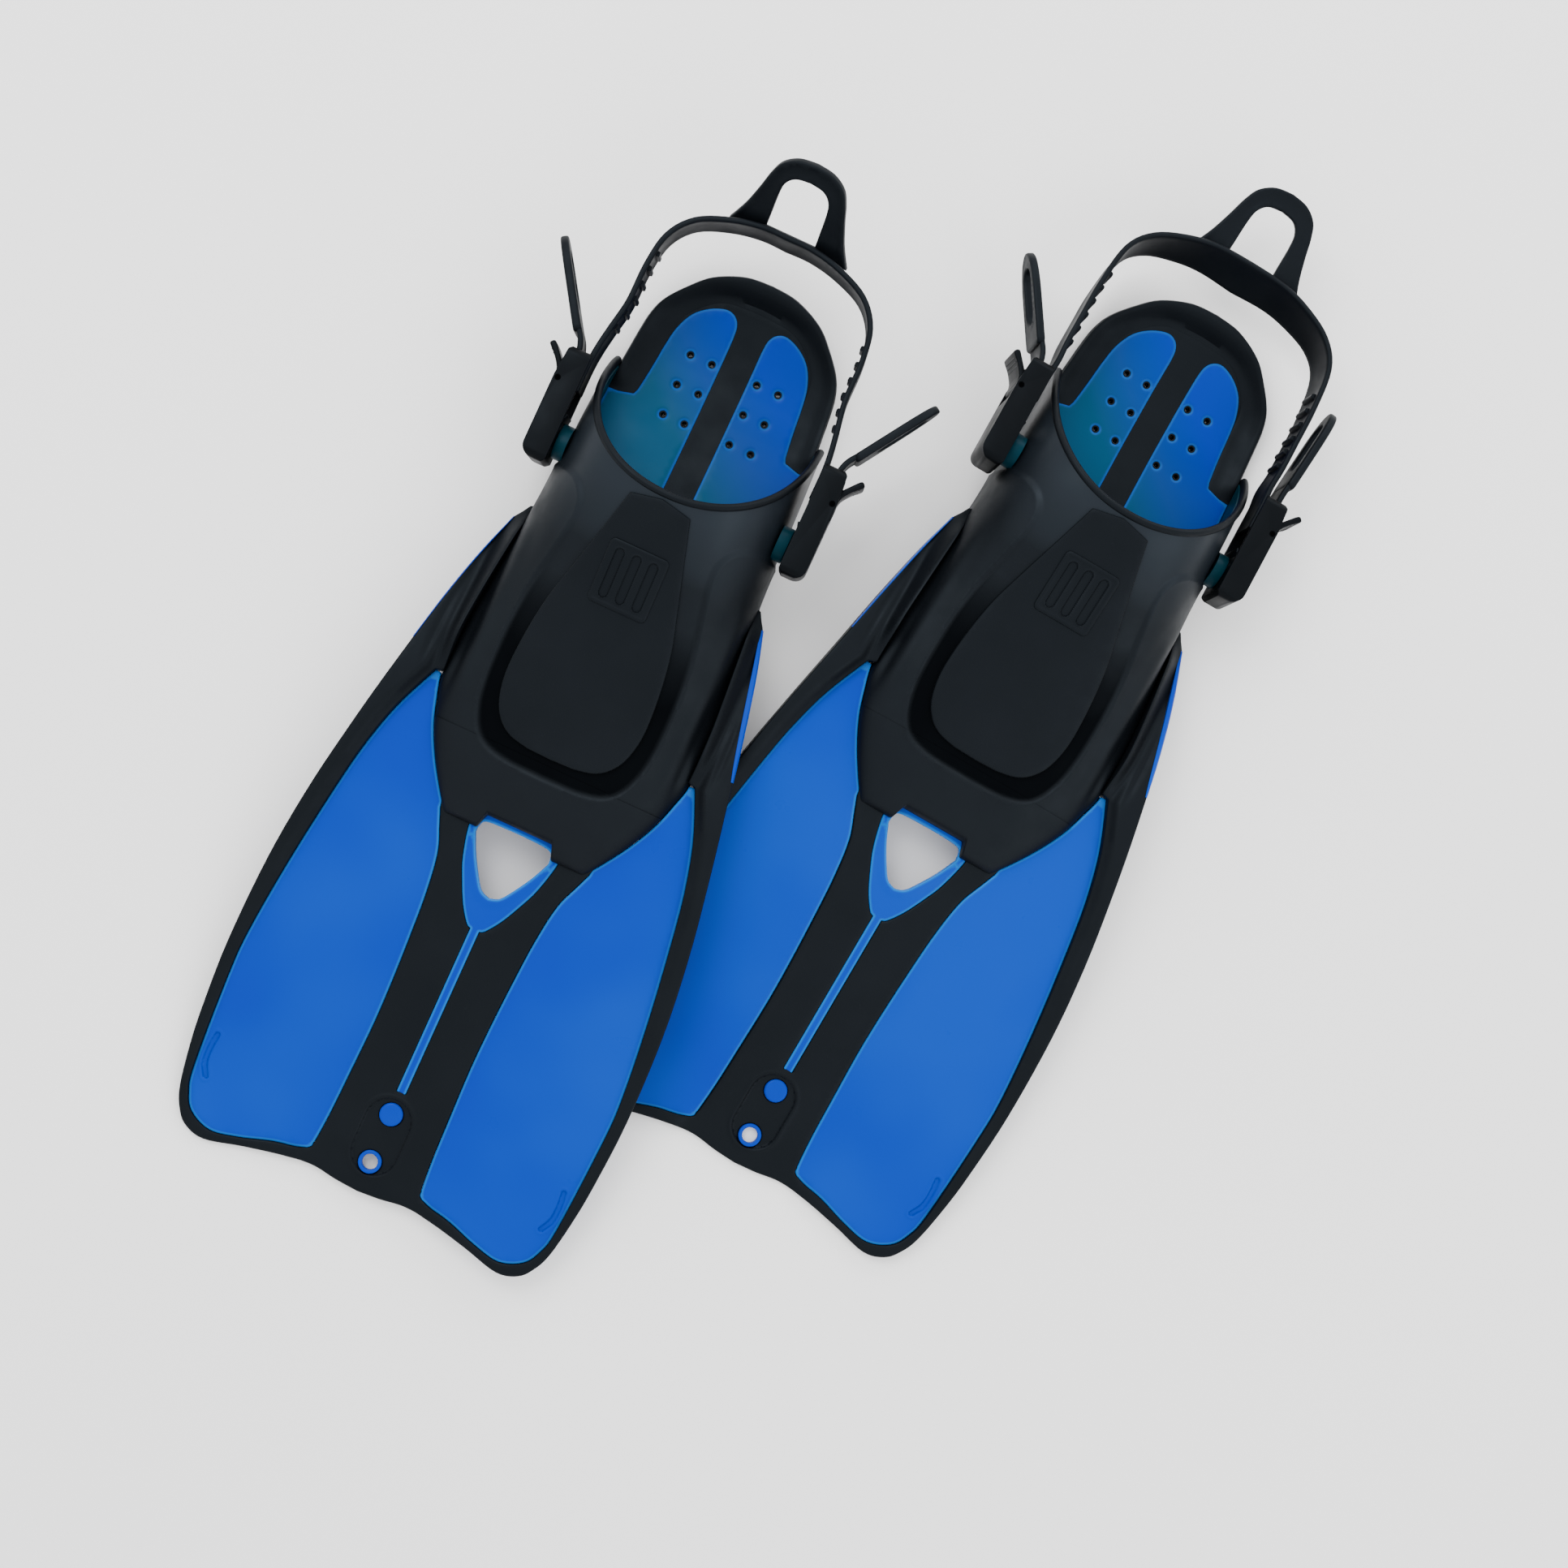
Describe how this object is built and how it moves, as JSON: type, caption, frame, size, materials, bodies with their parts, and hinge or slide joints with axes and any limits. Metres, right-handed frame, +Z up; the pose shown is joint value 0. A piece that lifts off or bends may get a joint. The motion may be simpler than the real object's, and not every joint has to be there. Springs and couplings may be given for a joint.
{
  "type": "pair of open-heel swim fins",
  "caption": "Pair of short open-heel swim fins: blade with stiffening rails, foot pocket, swivel buckles with release levers and a rubber heel strap with pull loop.",
  "frame": {"origin": "on the floor under the middle of the pair", "axes": "+Y from the blade tips to the heels, +Z up, +X to the right of someone looking along +Y; the right fin lies on the floor and the left fin rests on its edge"},
  "size_m": [0.3972, 0.6623, 0.0889],
  "materials": {
    "blue_plastic": "satin",
    "black_rubber": "satin",
    "black_plastic": "fine grain",
    "steel": "brushed"
  },
  "bodies": {
    "right_fin": {"right_blade_panels": "blue_plastic", "right_vent_frame": "blue_plastic", "right_spine": "black_rubber", "right_side_rails": "black_rubber", "right_tip_edge": "black_rubber", "right_hang_ring": "blue_plastic", "right_tip_inlay": "blue_plastic", "right_toe_cap": "black_rubber", "right_foot_pocket": "black_rubber", "right_instep_panel": "black_rubber", "right_grip_block": "black_rubber", "right_opening_rim": "black_rubber", "right_footbed": "blue_plastic", "right_footbed_stripe": "black_rubber", "right_sole": "black_rubber", "right_heel_border": "black_rubber", "right_tread": "black_rubber", "right_swivel_posts": "blue_plastic", "right_swivel_rivets": "steel"},
    "right_buckles": {"right_outer_buckle": "black_plastic", "right_inner_buckle": "black_plastic", "right_strap_bars": "steel", "right_strap_turns": "black_rubber", "right_lever_pins": "steel"},
    "right_strap": {"right_heel_strap": "black_rubber", "right_pull_loop": "black_rubber"},
    "right_outer_strap_tail": {"right_outer_tail": "black_rubber"},
    "right_outer_lever": {"right_outer_lever": "black_plastic"},
    "right_inner_strap_tail": {"right_inner_tail": "black_rubber"},
    "right_inner_lever": {"right_inner_lever": "black_plastic"},
    "left_fin": {"left_blade_panels": "blue_plastic", "left_vent_frame": "blue_plastic", "left_spine": "black_rubber", "left_side_rails": "black_rubber", "left_tip_edge": "black_rubber", "left_hang_ring": "blue_plastic", "left_tip_inlay": "blue_plastic", "left_toe_cap": "black_rubber", "left_foot_pocket": "black_rubber", "left_instep_panel": "black_rubber", "left_grip_block": "black_rubber", "left_opening_rim": "black_rubber", "left_footbed": "blue_plastic", "left_footbed_stripe": "black_rubber", "left_sole": "black_rubber", "left_heel_border": "black_rubber", "left_tread": "black_rubber", "left_swivel_posts": "blue_plastic", "left_swivel_rivets": "steel"},
    "left_buckles": {"left_outer_buckle": "black_plastic", "left_inner_buckle": "black_plastic", "left_strap_bars": "steel", "left_strap_turns": "black_rubber", "left_lever_pins": "steel"},
    "left_strap": {"left_heel_strap": "black_rubber", "left_pull_loop": "black_rubber"},
    "left_outer_strap_tail": {"left_outer_tail": "black_rubber"},
    "left_outer_lever": {"left_outer_lever": "black_plastic"},
    "left_inner_strap_tail": {"left_inner_tail": "black_rubber"},
    "left_inner_lever": {"left_inner_lever": "black_plastic"}
  },
  "joints": [
    {"name": "right_strap_swing", "type": "hinge", "parent": "right_fin", "child": "right_buckles", "pos_m": [0.10341, 0.14835, 0.042], "axis": [0.9991, -0.0427, 0], "range_deg": [-6, 60]},
    {"name": "right_strap_adjust", "type": "slide", "parent": "right_buckles", "child": "right_strap", "axis": [0.0426, 0.9953, -0.0872], "range_m": [-0.01, 0.006]},
    {"name": "right_outer_tail_slide", "type": "slide", "parent": "right_buckles", "child": "right_outer_strap_tail", "axis": [0.0426, 0.9953, -0.0872], "range_m": [-0.006, 0.01]},
    {"name": "right_outer_lever_release", "type": "hinge", "parent": "right_buckles", "child": "right_outer_lever", "pos_m": [0.17659, 0.17164, 0.03969], "axis": [-0.0037, -0.0871, -0.9962], "range_deg": [0, 25], "stiffness_Nm_per_rad": 0.05},
    {"name": "right_inner_tail_slide", "type": "slide", "parent": "right_buckles", "child": "right_inner_strap_tail", "axis": [0.0426, 0.9953, -0.0872], "range_m": [-0.006, 0.01]},
    {"name": "right_inner_lever_release", "type": "hinge", "parent": "right_buckles", "child": "right_inner_lever", "pos_m": [0.03248, 0.17781, 0.03969], "axis": [0.0037, 0.0871, 0.9962], "range_deg": [0, 25], "stiffness_Nm_per_rad": 0.05},
    {"name": "left_strap_swing", "type": "hinge", "parent": "left_fin", "child": "left_buckles", "pos_m": [-0.09303, 0.05321, 0.04573], "axis": [0.9959, 0.0426, 0.0792], "range_deg": [-10, 60]},
    {"name": "left_strap_adjust", "type": "slide", "parent": "left_buckles", "child": "left_strap", "axis": [-0.0468, 0.9975, 0.0522], "range_m": [-0.01, 0.006]},
    {"name": "left_outer_tail_slide", "type": "slide", "parent": "left_buckles", "child": "left_outer_strap_tail", "axis": [-0.0468, 0.9975, 0.0522], "range_m": [-0.006, 0.01]},
    {"name": "left_outer_lever_release", "type": "hinge", "parent": "left_buckles", "child": "left_outer_lever", "pos_m": [-0.16611, 0.07657, 0.0414], "axis": [-0.0768, -0.0557, 0.9955], "range_deg": [0, 25], "stiffness_Nm_per_rad": 0.05},
    {"name": "left_inner_tail_slide", "type": "slide", "parent": "left_buckles", "child": "left_inner_strap_tail", "axis": [-0.0468, 0.9975, 0.0522], "range_m": [-0.006, 0.01]},
    {"name": "left_inner_lever_release", "type": "hinge", "parent": "left_buckles", "child": "left_inner_lever", "pos_m": [-0.02244, 0.08272, 0.05283], "axis": [0.0768, 0.0557, -0.9955], "range_deg": [0, 25], "stiffness_Nm_per_rad": 0.05},
    {"name": "lift_left_fin", "type": "slide", "parent": "right_fin", "child": "left_fin", "axis": [0, 0, 1], "range_m": [0, 0.15]}
  ],
  "couplings": [
    {"joint": "right_outer_tail_slide", "follows": "right_strap_adjust", "ratio": -1},
    {"joint": "right_inner_tail_slide", "follows": "right_strap_adjust", "ratio": -1},
    {"joint": "left_outer_tail_slide", "follows": "left_strap_adjust", "ratio": -1},
    {"joint": "left_inner_tail_slide", "follows": "left_strap_adjust", "ratio": -1}
  ]
}
